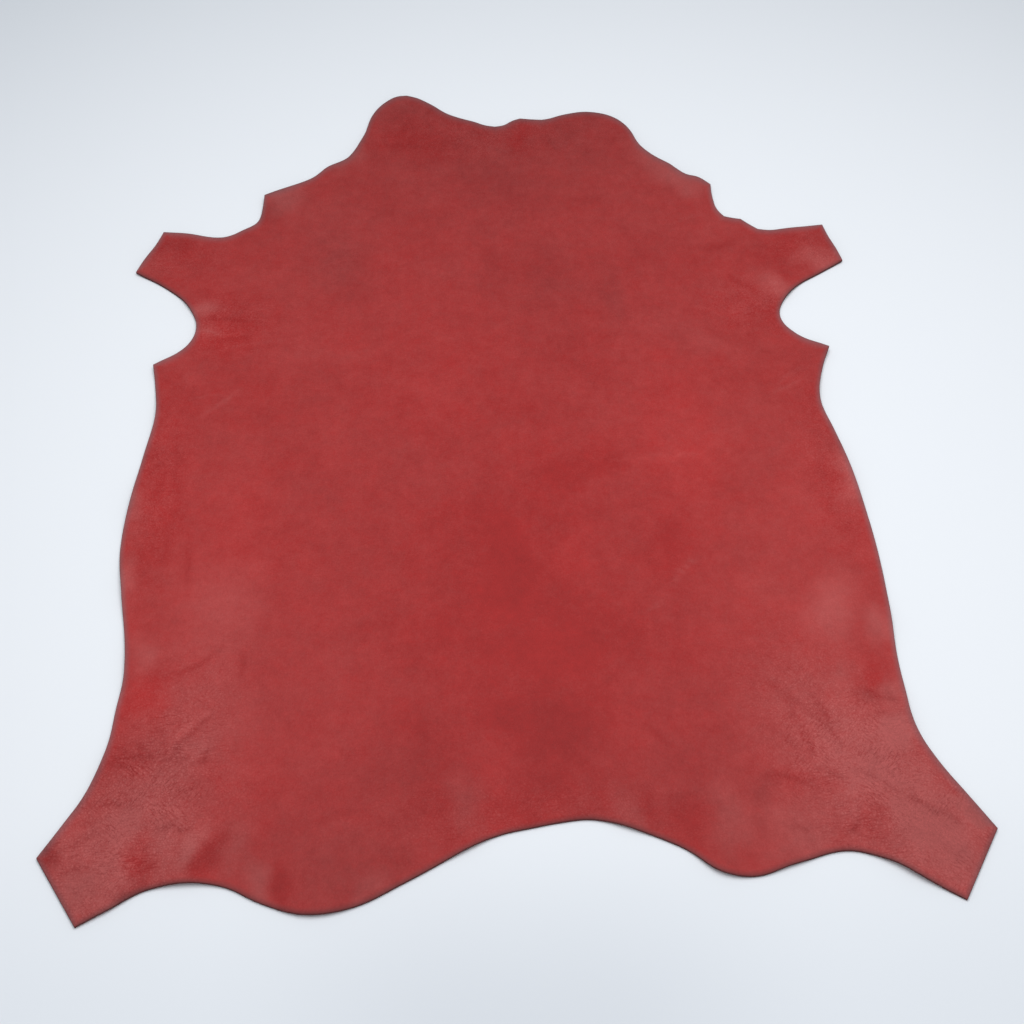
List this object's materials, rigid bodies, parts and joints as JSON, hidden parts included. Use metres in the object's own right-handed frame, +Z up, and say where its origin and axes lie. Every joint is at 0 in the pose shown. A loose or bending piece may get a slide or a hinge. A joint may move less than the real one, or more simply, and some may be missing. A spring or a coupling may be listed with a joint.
{
  "type": "hide of pull-up leather",
  "caption": "Whole small hide of red pull-up leather with neck and leg lobes, lying flat grain side up with soft folds along its cut edge.",
  "frame": {"origin": "on the surface the hide lies on, under the middle of its bounding box", "axes": "+Z up, away from the surface, out of the grain side; +Y along the back, from the tail to the neck; +X to the right as seen from above with the neck at the top"},
  "size_m": [0.761, 1.028, 0.0072],
  "materials": {
    "pull_up_leather": "waxed, soft sheen"
  },
  "bodies": {
    "root": {"hide": "pull_up_leather"}
  },
  "joints": []
}
